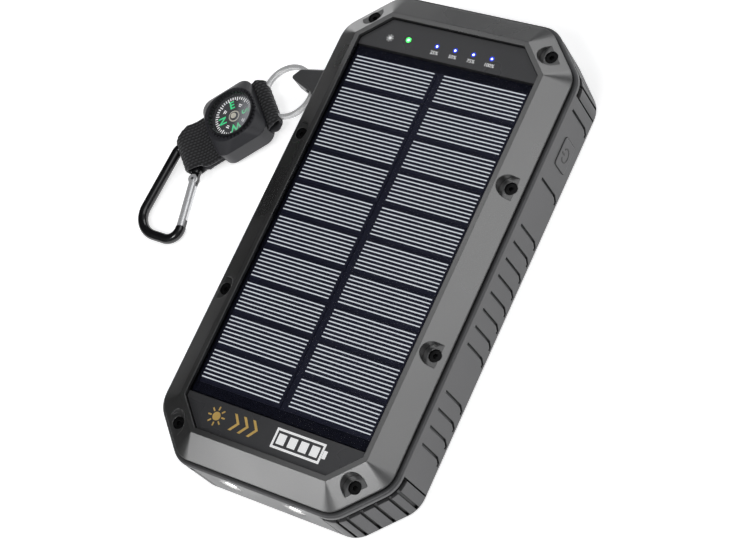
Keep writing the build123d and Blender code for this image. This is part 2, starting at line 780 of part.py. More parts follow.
# ================================================================ power button and its switch
switch_face_x = half_width - wall - flange_thickness - button_travel - 1.6
with BuildPart() as tact_switch:
    with Locations((switch_face_x, button_y, board_top)):
        Box(*switch_size, align=(Align.MAX, Align.CENTER, Align.MIN))
    with BuildSketch(Plane(origin=(switch_face_x, button_y, button_z), x_dir=(0, 1, 0), z_dir=(1, 0, 0))):
        Circle(plunger_radius + plunger_gap)
    extrude(amount=-plunger_inside - button_travel - 0.3, mode=Mode.SUBTRACT)

with BuildPart() as switch_plunger:
    with BuildSketch(Plane(origin=(switch_face_x, button_y, button_z), x_dir=(0, 1, 0), z_dir=(1, 0, 0))):
        Circle(plunger_radius)
    extrude(amount=-plunger_inside)
    extrude(switch_plunger.faces().sort_by(Axis.X)[-1], amount=plunger_reach)

with BuildPart() as power_button:
    inner_face = half_width - wall - 0.05
    with BuildSketch(side_plane.offset(button_proud)):
        with Locations((button_y, button_z)):
            RectangleRounded(button_width, button_height, button_corner)
    extrude(amount=-button_proud - wall - 0.05)
    fillet(power_button.faces().sort_by(Axis.X)[-1].edges(), 0.25)
    with BuildSketch(Plane(origin=(inner_face, 0, 0), x_dir=(0, 1, 0), z_dir=(1, 0, 0))):
        with Locations((button_y, button_z)):
            RectangleRounded(
                button_width + 2 * flange_margin, button_height + 2 * flange_margin, button_corner
            )
    extrude(amount=-flange_thickness)
    with BuildSketch(Plane(origin=(inner_face - flange_thickness, 0, 0), x_dir=(0, 1, 0), z_dir=(1, 0, 0))):
        with Locations((button_y, button_z)):
            Circle(stem_radius)
    extrude(amount=-(inner_face - flange_thickness - switch_face_x - plunger_reach))

# ================================================================ torch
with BuildPart() as torch_board:
    with Locations((0, torch_board_face_y, torch_z)):
        Box(*torch_board_size, align=(Align.CENTER, Align.MIN, Align.CENTER))

with BuildPart() as torch_leds:
    with Locations((-torch_x, torch_board_face_y, torch_z), (torch_x, torch_board_face_y, torch_z)):
        Box(*torch_led_size, align=(Align.CENTER, Align.MAX, Align.CENTER))


def torch_lens(x):
    """A clear lens with a flange behind the wall and a shallow dome in the wall's hole."""
    inner = wall + 0.05 - half_length
    apex = 0.15 - half_length
    rise = torch_dome - 0.15
    curve = (torch_radius**2 + rise**2) / (2 * rise)
    middle = apex + curve - sqrt(curve**2 - torch_radius**2 / 4)
    with BuildPart() as lens:
        with BuildSketch(Plane.YZ.offset(x)):
            with BuildLine():
                Polyline(
                    (inner + torch_flange, torch_z),
                    (inner + torch_flange, torch_z + torch_flange_radius),
                    (inner, torch_z + torch_flange_radius),
                    (inner, torch_z + torch_radius),
                    (torch_dome - half_length, torch_z + torch_radius),
                )
                ThreePointArc(
                    (torch_dome - half_length, torch_z + torch_radius),
                    (middle, torch_z + torch_radius / 2),
                    (apex, torch_z),
                )
                Line((apex, torch_z), (inner + torch_flange, torch_z))
            make_face()
        revolve(axis=Axis((x, 0, torch_z), (0, 1, 0)))
    return lens.part


# ================================================================ wires
def wire(points, radii, radius):
    """A round wire along straight runs joined by tangent arcs."""
    with BuildPart() as piece:
        with BuildLine() as route:
            FilletPolyline(*points, radius=radii)
        with BuildSketch(Plane(origin=route.line @ 0, z_dir=route.line % 0)):
            Circle(radius)
        sweep()
    return piece.part


def battery_leads(upper_x, lower_x):
    """A lead from each cell's end face over and down to the main board."""
    with BuildPart() as leads:
        for x, bottom, end_y, bend in (
            (upper_x, upper_cell_bottom, 47.0, 2.0),
            (lower_x, lower_cell_bottom, 45.0, 1.1),
        ):
            level = max(bottom + battery_size[2] / 2, board_top + bend + 0.4)
            start = (x, battery_far_y, level)
            add(wire([start, (x, end_y, level), (x, end_y, board_top)], [bend], wire_radius))
    return leads.part


def solar_lead(x):
    """A thin lead from the panel's underside through the shelf's window to the main board."""
    points = [(x, 46.0, shelf_top), (x, 46.0, 17.5), (x + 2, 49.0, 12.0), (x + 2, 49.0, board_top)]
    return wire(points, [2.5, 2.5], thin_wire_radius)


def torch_lead(level, end_y):
    """A thin lead from the torch board, round the battery and along its side to the main board."""
    side_x = -(battery_size[0] / 2 + 0.8)
    points = [
        (-15.0, torch_board_face_y + torch_board_size[1], level),
        (-15.0, battery_near_y - 1.5, level),
        (side_x, battery_near_y - 1.5, level),
        (side_x, end_y, level),
        (side_x, end_y, board_top),
    ]
    return wire(points, [2.0, 1.8, (level - board_top) * 0.45], thin_wire_radius)


# ================================================================ split ring
with BuildPart() as split_ring:
    with BuildSketch(strap_side_plane):
        for sign in (-1, 1):
            with Locations((ring_radius, sign * ring_wire_height / 4)):
                RectangleRounded(ring_wire_width, ring_wire_height / 2, ring_wire_height / 6)
        with Locations((ring_radius, 0)):
            Rectangle(ring_wire_width * 0.6, ring_wire_height / 2)
    revolve(axis=Axis(strap_plane.origin, strap_plane.z_dir))

# ================================================================ carabiner
bar_middle = strap_plane.from_local_coords((bar_distance, 0, 0))
rod_slope = asin((bar_middle.Z - rod_radius) / (far_corner[0] + 1))
carabiner_plane = Plane(
    origin=bar_middle,
    x_dir=(0, -cos(rod_slope), -sin(rod_slope)),
    z_dir=(0, -sin(rod_slope), cos(rod_slope)),
)
gate_along = Vector(cos(radians(gate_heading)), sin(radians(gate_heading)))
gate_plane = Plane(
    origin=carabiner_plane.from_local_coords((gate_pivot[0], gate_pivot[1], 0)),
    x_dir=carabiner_plane.x_dir * gate_along.X + carabiner_plane.y_dir * gate_along.Y,
    z_dir=carabiner_plane.z_dir,
)
gate_end_plane = Plane(origin=gate_plane.origin, x_dir=gate_plane.y_dir, z_dir=gate_plane.x_dir)


def rod(radius, start):
    """A round rod along the carabiner's middle line, from short of the pivot round to the nose."""
    pivot = Vector(*gate_pivot)
    nose = pivot + gate_along * gate_span
    shoulder = pivot - gate_along * shoulder_run
    heel = nose + gate_along * nose_run
    points = [pivot - gate_along * start, shoulder, Vector(*top_corner), Vector(*far_corner), heel, nose]
    with BuildPart() as piece:
        with BuildLine(carabiner_plane) as route:
            FilletPolyline(*[(p.X, p.Y) for p in points], radius=list(rod_radii))
        with BuildSketch(Plane(origin=route.line @ 0, z_dir=route.line % 0)):
            Circle(radius)
        sweep()
    return piece.part


with BuildPart() as carabiner_body:
    add(rod(rod_radius, hinge_clear))
    # the rod ends in a flat tang that the gate's fork straddles
    with BuildSketch(gate_plane.offset(-tang_half)):
        Circle(tang_radius)
        with Locations((-hinge_clear / 2 - 0.2, 0)):
            Rectangle(hinge_clear + 0.4, 2 * tang_radius)
    extrude(amount=2 * tang_half)
    with BuildSketch(gate_plane.offset(-tang_half)):
        with Locations((gate_span - nose_tang_length / 2 + 0.5, 0)):
            Rectangle(nose_tang_length + 1, 2 * tang_radius - 0.6)
    extrude(amount=2 * tang_half)
    with BuildSketch(gate_plane.offset(-rod_radius)):
        Circle(pin_radius + pin_gap)
    extrude(amount=2 * rod_radius, mode=Mode.SUBTRACT)

with BuildPart() as carabiner_gate:
    with BuildSketch(gate_end_plane):
        Circle(gate_radius)
    extrude(amount=gate_span - gate_tip_gap)
    with BuildSketch(gate_plane.offset(-gate_radius * 0.85)):
        Circle(gate_radius)
    extrude(amount=2 * gate_radius * 0.85)
    with BuildSketch(gate_plane.offset(-slot_half)):
        with Locations(((hinge_clear - gate_radius - 1) / 2, 0)):
            Rectangle(hinge_clear + gate_radius + 1, 4 * gate_radius)
        with Locations((gate_span - nose_tang_length / 2, 0)):
            Rectangle(nose_tang_length + 2 * gate_tip_gap, 4 * gate_radius)
    extrude(amount=2 * slot_half, mode=Mode.SUBTRACT)
    with BuildSketch(gate_plane.offset(-gate_radius)):
        Circle(pin_radius)
    extrude(amount=2 * gate_radius, mode=Mode.SUBTRACT)
    with BuildSketch(gate_end_plane):
        Circle(spring_radius + 0.05)
    extrude(amount=spring_end, mode=Mode.SUBTRACT)

with BuildPart() as gate_pin:
    with BuildSketch(gate_plane.offset(-gate_radius * 0.85)):
        Circle(pin_radius)
    extrude(amount=2 * gate_radius * 0.85)

with BuildPart() as gate_spring:
    with BuildSketch(gate_end_plane.offset(tang_radius + 0.1)):
        Circle(spring_radius)
    extrude(amount=spring_end - tang_radius - 0.1)

# ================================================================ webbing strap
ring_loop_half = ring_wire_height / 2 + loop_slack + webbing_thickness
bar_loop_half = rod_radius + loop_slack + webbing_thickness
webbing_clearance = 0.3
compass_near = compass_distance + compass_shift - compass_length / 2
compass_far = compass_near + compass_length

with BuildPart() as webbing_strap:
    with BuildSketch(strap_side_plane):
        with BuildLine():
            Polyline(
                (strap_end, -layer_half),
                (strap_end + 1.2, -ring_loop_half),
                (compass_near - 0.5, -ring_loop_half),
                (compass_near + 1, -layer_half),
                (bar_distance - 5.5, -layer_half),
                (bar_distance - 1.4, -bar_loop_half + 0.3),
                (bar_distance - 1.4, bar_loop_half - 0.3),
                (bar_distance - 5.5, layer_half),
                (compass_near + 1, layer_half),
                (compass_near - 0.5, ring_loop_half),
                (strap_end + 1.2, ring_loop_half),
                (strap_end, layer_half),
                close=True,
            )
        make_face()
        with Locations((bar_distance, 0)):
            Circle(bar_loop_half)
    extrude(amount=1.5 * strap_half_width, both=True)
    with BuildSketch(strap_plane.offset(-2 * bar_loop_half)) as plan:
        with BuildLine():
            Polyline(
                (strap_end, -ring_end_half_width),
                (strap_end + 3, -strap_half_width),
                (bar_distance - 3, 1 - strap_half_width),
                (strap_far_end, -4.4),
                (strap_far_end, 7.0),
                (bar_distance - 2, strap_half_width + 1),
                (compass_far + 0.6, strap_half_width),
                (strap_end + 3, strap_half_width),
                (strap_end, ring_end_half_width),
                close=True,
            )
        make_face()
        fillet(plan.vertices(), 1)
    extrude(amount=4 * bar_loop_half, mode=Mode.INTERSECT)
    # tunnels for the ring and for the carabiner's bar
    with BuildSketch(strap_side_plane):
        with Locations((ring_radius, 0)):
            Rectangle(ring_wire_width + 2 * webbing_clearance, ring_wire_height + 2 * webbing_clearance)
    revolve(axis=Axis(strap_plane.origin, strap_plane.z_dir), mode=Mode.SUBTRACT)
    add(rod(rod_radius + webbing_clearance, 0), mode=Mode.SUBTRACT)

# ================================================================ compass
compass_plane = Plane(
    origin=strap_plane.from_local_coords((compass_distance, 0, 0)),
    x_dir=strap_plane.x_dir,
    z_dir=strap_plane.z_dir,
)
compass_side_plane = Plane(origin=compass_plane.origin, x_dir=along, z_dir=-across)
plate_top = -layer_half - channel_gap
plate_bottom = plate_top - back_plate_thickness
bore_radius = cup_radius + compass_gap

with BuildPart() as compass_housing:
    with BuildSketch(compass_plane.offset(plate_bottom)):
        with Locations((compass_shift, 0)):
            RectangleRounded(compass_length, compass_width, compass_corner)
    extrude(amount=compass_wall_height - plate_bottom)
    with BuildSketch(compass_plane.offset(compass_wall_height)):
        with Locations((compass_shift, 0)):
            RectangleRounded(compass_length, compass_width, compass_corner)
    with BuildSketch(compass_plane.offset(compass_top)):
        with Locations((compass_shift, 0)):
            RectangleRounded(compass_length - 1.0, compass_width - 5.0, compass_corner + 3.5)
    loft(ruled=True)
    # channel for the strap, flared towards the ring, and the pocket for the back plate
    with BuildSketch(compass_plane.offset(plate_top)):
        Rectangle(2 * compass_length, 2 * (strap_half_width + channel_gap))
    extrude(amount=-2 * plate_top, mode=Mode.SUBTRACT)
    flare_start = compass_shift - compass_length / 2 - 1
    with BuildSketch(compass_side_plane):
        with BuildLine():
            Polyline(
                (flare_start, -ring_loop_half - 0.5),
                (flare_start, ring_loop_half + 0.5),
                (flare_start + 2.5, -plate_top - 0.05),
                (flare_start + 2.5, plate_top + 0.05),
                close=True,
            )
        make_face()
    extrude(amount=strap_half_width + channel_gap, both=True, mode=Mode.SUBTRACT)
    with BuildSketch(compass_plane.offset(plate_bottom)):
        with Locations((compass_shift, 0)):
            Rectangle(compass_length - 2 * compass_shell_wall, compass_width - 2 * compass_shell_wall)
    extrude(amount=back_plate_thickness, mode=Mode.SUBTRACT)
    with BuildSketch(compass_plane.offset(cup_bottom)):
        Circle(bore_radius)
    extrude(amount=compass_top, mode=Mode.SUBTRACT)
    # grip notches around the dial, open to the bore
    with BuildSketch(compass_plane.offset(compass_top - grip_notch_depth)):
        with PolarLocations(bore_radius + grip_notch_length / 2 - 0.1, grip_notches):
            Rectangle(grip_notch_length, grip_notch_width)
    extrude(amount=2 * grip_notch_depth, mode=Mode.SUBTRACT)

with BuildPart() as compass_back_plate:
    with BuildSketch(compass_plane.offset(plate_bottom)):
        with Locations((compass_shift, 0)):
            RectangleRounded(
                compass_length - 2 * compass_shell_wall - 2 * channel_gap,
                compass_width - 2 * compass_shell_wall - 2 * channel_gap,
                0.8,
            )
    extrude(amount=back_plate_thickness)

with BuildPart() as compass_cup:
    with BuildSketch(compass_plane.offset(cup_bottom)):
        Circle(cup_radius)
    extrude(amount=cup_height)
    with BuildSketch(compass_plane.offset(cup_bottom + cup_floor)):
        Circle(cup_radius - cup_wall)
    extrude(amount=cup_height, mode=Mode.SUBTRACT)

lens_bottom = cup_bottom + cup_height
with BuildPart() as compass_lens:
    edge = cup_radius - bezel_width
    rim = lens_bottom + compass_lens_thickness
    curve = (edge**2 + compass_lens_dome**2) / (2 * compass_lens_dome)
    middle = rim + compass_lens_dome - curve + sqrt(curve**2 - edge**2 / 4)
    with BuildSketch(compass_side_plane):
        with BuildLine():
            Polyline(
                (0, lens_bottom),
                (cup_radius, lens_bottom),
                (cup_radius, lens_bottom + compass_lens_thickness / 2),
                (edge, rim),
            )
            ThreePointArc((edge, rim), (edge / 2, middle), (0, rim + compass_lens_dome))
            Line((0, rim + compass_lens_dome), (0, lens_bottom))
        make_face()
    revolve(axis=Axis(compass_plane.origin, compass_plane.z_dir))

with BuildPart() as compass_bezel:
    bezel_bottom = lens_bottom + compass_lens_thickness + 0.05
    with BuildSketch(compass_plane.offset(bezel_bottom)):
        Circle(bore_radius - compass_gap / 2)
        Circle(bore_radius - bezel_width, mode=Mode.SUBTRACT)
    extrude(amount=bezel_height)
    # a slope on the inside with notches round it
    with BuildSketch(compass_side_plane):
        with BuildLine():
            Polyline(
                (0, bezel_bottom + 0.2),
                (bore_radius - bezel_width, bezel_bottom + 0.2),
                (bore_radius - 0.4, bezel_bottom + bezel_height),
                (0, bezel_bottom + bezel_height),
                close=True,
            )
        make_face()
    revolve(axis=Axis(compass_plane.origin, compass_plane.z_dir), mode=Mode.SUBTRACT)
    with BuildSketch(compass_plane.offset(bezel_bottom + 0.3)):
        with PolarLocations(bore_radius - bezel_width + 0.1, bezel_notches):
            Rectangle(0.9, 0.35)
    extrude(amount=bezel_height, mode=Mode.SUBTRACT)

with BuildPart() as compass_pivot:
    with BuildSketch(compass_plane.offset(cup_bottom + cup_floor)):
        Circle(1.1)
    extrude(amount=0.4)
    with BuildSketch(compass_plane.offset(cup_bottom + cup_floor)):
        Circle(pivot_radius)
    extrude(amount=card_height + card_thickness - cup_bottom - cup_floor + 0.1)

with BuildPart() as compass_card:
    with BuildSketch(compass_plane.offset(card_height)):
        Circle(card_radius)
    extrude(amount=card_thickness)
    with BuildSketch(compass_plane.offset(card_height)):
        Circle(card_hub_radius)
    extrude(amount=card_thickness + 0.45)
    with BuildSketch(compass_plane.offset(card_height)):
        Circle(pivot_radius + pivot_gap)
    extrude(amount=card_thickness + 0.15, mode=Mode.SUBTRACT)

with BuildPart() as board_components:
    with Locations((14, 57, board_top)):
        Box(9, 9, 4.5, align=(Align.CENTER, Align.CENTER, Align.MIN))
    with Locations((0, 54.5, board_top)):
        Box(5, 5, 0.9, align=(Align.CENTER, Align.CENTER, Align.MIN))
    with Locations((-12, 57.5, board_top), (-20, 57.5, board_top)):
        Cylinder(3.15, 7, align=(Align.CENTER, Align.CENTER, Align.MIN))

# ================================================================ files
pieces = {
    "lower_case": lower_case.part,
    "seal_gasket": seal_gasket.part,
    "top_cover": top_cover.part,
    "cover_screws": Compound([cover_screw(x, y) for x, y in screw_points]),
    "panel_backboard": panel_backboard.part,
    "solar_cells": solar_cells.part,
    "panel_lens": panel_lens.part,
    "indicator_strip": indicator_strip.part,
    "lower_strip": lower_strip.part,
    "indicator_lenses": indicator_lenses.part,
    "indicator_board": indicator_board.part,
    "indicator_leds": indicator_leds.part,
    "battery_cell_lower": battery_cell(lower_cell_bottom),
    "battery_cell_upper": battery_cell(upper_cell_bottom),
    "foam_pads": foam_pads.part,
    "main_board": main_board.part,
    "board_screws": Compound([board_screw(x, y) for x, y in post_points]),
    "board_components": board_components.part,
    "usb_a_ports": usb_a_ports.part,
    "usb_c_port": usb_c_port.part,
    "port_cover": port_cover.part,
    "port_cover_anchor": port_cover_anchor.part,
    "tact_switch": tact_switch.part,
    "switch_plunger": switch_plunger.part,
    "power_button": power_button.part,
    "torch_board": torch_board.part,
    "torch_leds": torch_leds.part,
    "torch_lenses": Compound([torch_lens(-torch_x), torch_lens(torch_x)]),
    "battery_leads_red": battery_leads(-16, -20),
    "battery_leads_black": battery_leads(16, 20),
    "solar_lead_red": solar_lead(-5),
    "solar_lead_black": solar_lead(5),
    "torch_lead_red": torch_lead(10.2, 48.0),
    "torch_lead_black": torch_lead(8.6, 45.5),
    "split_ring": split_ring.part,
    "webbing_strap": webbing_strap.part,
    "compass_housing": compass_housing.part,
    "compass_back_plate": compass_back_plate.part,
    "compass_cup": compass_cup.part,
    "compass_pivot": compass_pivot.part,
    "compass_lens": compass_lens.part,
    "compass_bezel": compass_bezel.part,
    "compass_card": compass_card.part,
    "carabiner_body": carabiner_body.part,
    "carabiner_gate": carabiner_gate.part,
    "gate_pin": gate_pin.part,
    "gate_spring": gate_spring.part,
}
for side_x, sign_x in (("left", -1), ("right", 1)):
    for side_y, sign_y in (("near", -1), ("far", 1)):
        pieces[f"bumper_{side_y}_{side_x}"] = corner_bumper(sign_x, sign_y)

for name, piece in pieces.items():
    piece.label = name
    export_step(piece, f"parts/{name}.step")
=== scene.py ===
"""Looks for the solar power bank: materials, printed marks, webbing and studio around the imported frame."""

import math

import bmesh
import bpy
from mathutils import Matrix, Vector


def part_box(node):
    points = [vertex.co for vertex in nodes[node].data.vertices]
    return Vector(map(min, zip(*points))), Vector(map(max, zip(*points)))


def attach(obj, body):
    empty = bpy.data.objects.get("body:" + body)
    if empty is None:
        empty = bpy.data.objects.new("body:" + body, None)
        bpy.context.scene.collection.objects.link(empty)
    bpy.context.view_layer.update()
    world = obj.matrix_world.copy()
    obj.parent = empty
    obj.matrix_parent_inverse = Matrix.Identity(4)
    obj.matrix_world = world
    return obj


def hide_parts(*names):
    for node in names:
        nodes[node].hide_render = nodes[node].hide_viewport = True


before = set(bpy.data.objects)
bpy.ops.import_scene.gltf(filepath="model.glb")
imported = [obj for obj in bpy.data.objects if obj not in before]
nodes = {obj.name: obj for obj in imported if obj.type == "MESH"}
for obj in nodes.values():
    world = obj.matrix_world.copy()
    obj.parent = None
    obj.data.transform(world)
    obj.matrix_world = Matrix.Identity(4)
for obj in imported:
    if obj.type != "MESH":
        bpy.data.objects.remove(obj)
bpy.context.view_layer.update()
MM = 0.001


# ---------------------------------------------------------------- camera
camera_data = bpy.data.cameras.new("camera")
camera_data.lens = 98.08
camera_data.sensor_width = 36.0
camera_data.clip_start = 0.01
camera = bpy.data.objects.new("camera", camera_data)
right = Vector((0.82611, 0.41202, -0.38441))
up = Vector((-0.24870, 0.87874, 0.40738))
back = Vector((0.50565, -0.24093, 0.82841))
camera.matrix_world = Matrix.Translation(Vector((299.52, -149.17, 504.12)) * MM) @ Matrix(
    (right, up, back)
).transposed().to_4x4()
bpy.context.collection.objects.link(camera)
bpy.context.scene.camera = camera


# ---------------------------------------------------------------- node helpers
class Recipe:
    """A material under construction: its Principled shader and a few helpers that add nodes."""

    def __init__(self, name, roughness=0.5, metallic=0.0, **sockets):
        self.material = bpy.data.materials.new(name)
        self.material.use_nodes = True
        self.tree = self.material.node_tree
        self.shader = self.tree.nodes["Principled BSDF"]
        self.set("Roughness", roughness)
        self.set("Metallic", metallic)
        for socket, value in sockets.items():
            self.set(socket.replace("_", " "), value)
        self.coords = self.tree.nodes.new("ShaderNodeTexCoord").outputs["Object"]

    def set(self, socket, value):
        target = self.shader.inputs[socket]
        target.default_value = (*value, 1.0) if isinstance(value, tuple) and len(value) == 3 else value

    def node(self, kind, *inputs, **properties):
        made = self.tree.nodes.new(kind)
        for key, value in properties.items():
            setattr(made, key, value)
        for index, value in enumerate(inputs):
            self.feed(made.inputs[index], value)
        return made

    def feed(self, socket, value):
        if value is None:
            return
        if isinstance(value, bpy.types.NodeSocket):
            self.tree.links.new(value, socket)
        else:
            socket.default_value = value

    def math(self, operation, a, b=None, c=None):
        return self.node("ShaderNodeMath", a, b, c, operation=operation).outputs[0]

    def noise(self, size, detail=2.0, stretch=None):
        """Noise from 0 to 1 whose features are about size metres across."""
        coords = self.coords
        if stretch is not None:
            coords = self.node("ShaderNodeMapping", coords).outputs[0]
            coords.node.inputs["Scale"].default_value = stretch
        made = self.node("ShaderNodeTexNoise")
        self.feed(made.inputs["Vector"], coords)
        made.inputs["Scale"].default_value = 1.0 / size
        made.inputs["Detail"].default_value = detail
        return made.outputs["Fac"]

    def spread(self, value, low, high, start=0.3, end=0.7):
        """value between start and end, mapped to low..high."""
        made = self.node("ShaderNodeMapRange")
        self.feed(made.inputs["Value"], value)
        made.inputs["From Min"].default_value = start
        made.inputs["From Max"].default_value = end
        made.inputs["To Min"].default_value = low
        made.inputs["To Max"].default_value = high
        return made.outputs["Result"]

    def mix(self, factor, a, b):
        """Colour between a and b."""
        made = self.node("ShaderNodeMix", data_type="RGBA")
        self.feed(made.inputs["Factor"], factor)
        for socket, value in ((made.inputs[6], a), (made.inputs[7], b)):
            if isinstance(value, tuple):
                value = (*value, 1.0)
            self.feed(socket, value)
        return made.outputs[2]

    def colour(self, value):
        self.tree.links.new(value, self.shader.inputs["Base Color"])

    def rough(self, value):
        self.tree.links.new(value, self.shader.inputs["Roughness"])

    def bump(self, height, depth, strength=1.0, bevel=None):
        """Raises the surface by height (0 to 1) times depth metres; bevel softens hard edges."""
        made = self.node("ShaderNodeBump")
        made.inputs["Strength"].default_value = strength
        made.inputs["Distance"].default_value = depth
        self.feed(made.inputs["Height"], height)
        if bevel is not None:
            soft = self.node("ShaderNodeBevel", samples=6)
            soft.inputs["Radius"].default_value = bevel
            self.tree.links.new(soft.outputs[0], made.inputs["Normal"])
        self.tree.links.new(made.outputs[0], self.shader.inputs["Normal"])


def surface(
    name, light, dark, roughness, grain, depth, bevel=None, patch=0.02, metallic=0.0, painted_shade_reach=None, **sockets
):
    """Moulded, painted or metal surface: slow colour change, fine grain, uneven gloss, and, when a reach is
    given, painted shade that darkens its crevices.
    """
    made = Recipe(name, roughness, metallic, **sockets)
    slow = made.noise(patch, 3.0)
    fine = made.noise(grain, 2.0)
    blend = made.math("MULTIPLY_ADD", slow, 0.7, made.math("MULTIPLY", fine, 0.3))
    colour = made.mix(made.spread(blend, 0.0, 1.0), dark, light)
    # painted shade: ambient occlusion darkens the colour towards black in crevices, grooves and seams
    if painted_shade_reach is not None:
        open_sky = made.node("ShaderNodeAmbientOcclusion", samples=8)
        open_sky.inputs["Distance"].default_value = painted_shade_reach
        open_part = made.spread(open_sky.outputs["AO"], 0.0, 1.0, 0.35, 0.8)
        colour = made.mix(open_part, (0.003, 0.003, 0.003), colour)
    made.colour(colour)
    made.rough(made.spread(slow, roughness * 0.85, min(1.0, roughness * 1.15)))
    made.bump(fine, depth, 0.8, bevel)
    return made.material


def brushed(name, light, dark, roughness, along, metallic=1.0, **sockets):
    """Metal with fine scratches that run along one direction."""
    made = Recipe(name, roughness, metallic, **sockets)
    scratches = made.noise(0.0003, 3.0, along)
    made.colour(made.mix(made.spread(scratches, 0.0, 1.0), dark, light))
    made.rough(made.spread(scratches, roughness * 0.7, roughness * 1.4))
    made.bump(scratches, 0.00001, 0.4)
    return made.material


def paint(material, *names):
    for name in names:
        slots = nodes[name].material_slots
        if not slots:
            nodes[name].data.materials.append(material)
        for each in slots:
            each.material = material


# ---------------------------------------------------------------- materials of the carried-over CAD pieces
cover = surface(
    "gunmetal_cover", (0.20, 0.20, 0.20), (0.172, 0.172, 0.172), 0.29, 0.00025, 0.000005,
    bevel=0.0003, patch=0.03, metallic=0.92, painted_shade_reach=0.0006,
)
case = surface(
    "case_plastic", (0.125, 0.125, 0.128), (0.10, 0.10, 0.103), 0.40, 0.0003, 0.00001,
    bevel=0.0004, patch=0.02, metallic=0.5, painted_shade_reach=0.001,
)
rubber = surface(
    "bumper_rubber", (0.115, 0.115, 0.118), (0.09, 0.09, 0.093), 0.45, 0.0004, 0.00002,
    bevel=0.0003, metallic=0.4, painted_shade_reach=0.0014,
)
gasket = surface("gasket_rubber", (0.012, 0.012, 0.012), (0.006, 0.006, 0.006), 0.75, 0.0004, 0.00003)
strips = surface(
    "strip_plastic", (0.055, 0.055, 0.058), (0.038, 0.038, 0.041), 0.3, 0.0003, 0.000008, bevel=0.0002
)
screws = surface(
    "black_screw", (0.018, 0.018, 0.019), (0.008, 0.008, 0.008), 0.35, 0.0002, 0.00001,
    bevel=0.0001, patch=0.001, metallic=0.8,
)
steel = brushed("steel", (0.62, 0.62, 0.63), (0.42, 0.42, 0.43), 0.3, (1.0, 1.0, 8.0))
polished = brushed(
    "polished_steel", (0.93, 0.93, 0.93), (0.78, 0.78, 0.79), 0.22, (4.0, 4.0, 1.0), metallic=0.45
)
gate_silver = brushed(
    "gate_silver", (0.90, 0.90, 0.91), (0.72, 0.72, 0.74), 0.22, (8.0, 1.0, 8.0), metallic=0.5
)
carabiner = surface(
    "carabiner_lacquer", (0.010, 0.010, 0.011), (0.005, 0.005, 0.006), 0.16, 0.0008, 0.000006,
    patch=0.01, Coat_Weight=0.6, Coat_Roughness=0.08,
)
housing = surface(
    "compass_housing", (0.040, 0.040, 0.046), (0.026, 0.026, 0.031), 0.38, 0.0003, 0.00002, bevel=0.0004
)
bezel = surface("compass_bezel", (0.03, 0.03, 0.034), (0.018, 0.018, 0.02), 0.32, 0.0003, 0.00001)
dial = surface("compass_dial", (0.02, 0.02, 0.022), (0.010, 0.010, 0.012), 0.6, 0.0002, 0.00001)
brass = brushed("brass", (0.75, 0.58, 0.25), (0.55, 0.40, 0.15), 0.28, (1.0, 1.0, 6.0))
board = surface("circuit_board", (0.02, 0.15, 0.06), (0.01, 0.09, 0.035), 0.35, 0.0006, 0.00003, patch=0.004)
white_board = surface("lamp_board", (0.8, 0.8, 0.78), (0.68, 0.68, 0.66), 0.4, 0.0005, 0.00002)
parts_black = surface("component_black", (0.03, 0.03, 0.03), (0.018, 0.018, 0.018), 0.5, 0.0003, 0.00002)
foil = surface(
    "battery_foil", (0.66, 0.67, 0.69), (0.48, 0.49, 0.51), 0.3, 0.004, 0.0001, patch=0.012, metallic=0.9
)
foam = surface("foam", (0.06, 0.06, 0.06), (0.03, 0.03, 0.03), 0.95, 0.0006, 0.0002)
red_wire = surface("red_wire", (0.45, 0.03, 0.03), (0.30, 0.015, 0.015), 0.4, 0.0005, 0.00001)
black_wire = surface("black_wire", (0.02, 0.02, 0.02), (0.01, 0.01, 0.01), 0.4, 0.0005, 0.00001)
led_yellow = surface("led_phosphor", (0.85, 0.75, 0.30), (0.70, 0.60, 0.20), 0.4, 0.0004, 0.00001)

cells = Recipe("cell_silicon", 0.22)
flakes = cells.noise(0.0012, 2.0)
cloud = cells.noise(0.03, 3.0)
cells.colour(
    cells.mix(
        cells.spread(cells.math("MULTIPLY_ADD", flakes, 0.15, cells.math("MULTIPLY", cloud, 0.85)), 0.0, 1.0),
        (0.0085, 0.0095, 0.024),
        (0.0105, 0.0120, 0.030),
    )
)
cells.rough(cells.spread(cloud, 0.45, 0.55))
cells.set("Specular IOR Level", 0.25)
cells.bump(flakes, 0.000001, 0.2)

lens = Recipe("panel_lens", 0.06, IOR=1.35, Alpha=0.08)
lens_noise = lens.noise(0.02, 2.0)
lens.colour(lens.mix(lens_noise, (0.012, 0.013, 0.02), (0.03, 0.032, 0.045)))
lens.rough(lens.spread(lens_noise, 0.05, 0.10))
lens.set("Specular IOR Level", 0.2)
lens.material.surface_render_method = "BLENDED"

dome = Recipe("compass_dome", 0.03, IOR=1.45, Alpha=0.12)
dome_noise = dome.noise(0.004, 2.0)
dome.colour(dome.mix(dome_noise, (0.55, 0.56, 0.60), (0.75, 0.76, 0.80)))
dome.rough(dome.spread(dome_noise, 0.02, 0.06))
dome_low, dome_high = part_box("compass_lens")
dome_middle = tuple((dome_low + dome_high) / 2)
from_middle = dome.node("ShaderNodeVectorMath", dome.coords, dome_middle, operation="SUBTRACT").outputs[0]
CASE_SIDE = (0.97, 0.23, 0.0)  # painted highlight: more of the light grey dome colour shows on the side nearer to the case
toward_highlight_side = dome.node("ShaderNodeVectorMath", from_middle, CASE_SIDE, operation="DOT_PRODUCT").outputs["Value"]
# painted highlight: the dome's alpha, and so its light grey colour, rises towards the case side
dome.tree.links.new(dome.spread(toward_highlight_side, 0.05, 0.5, 0.001, 0.0075), dome.shader.inputs["Alpha"])
dome.material.surface_render_method = "BLENDED"

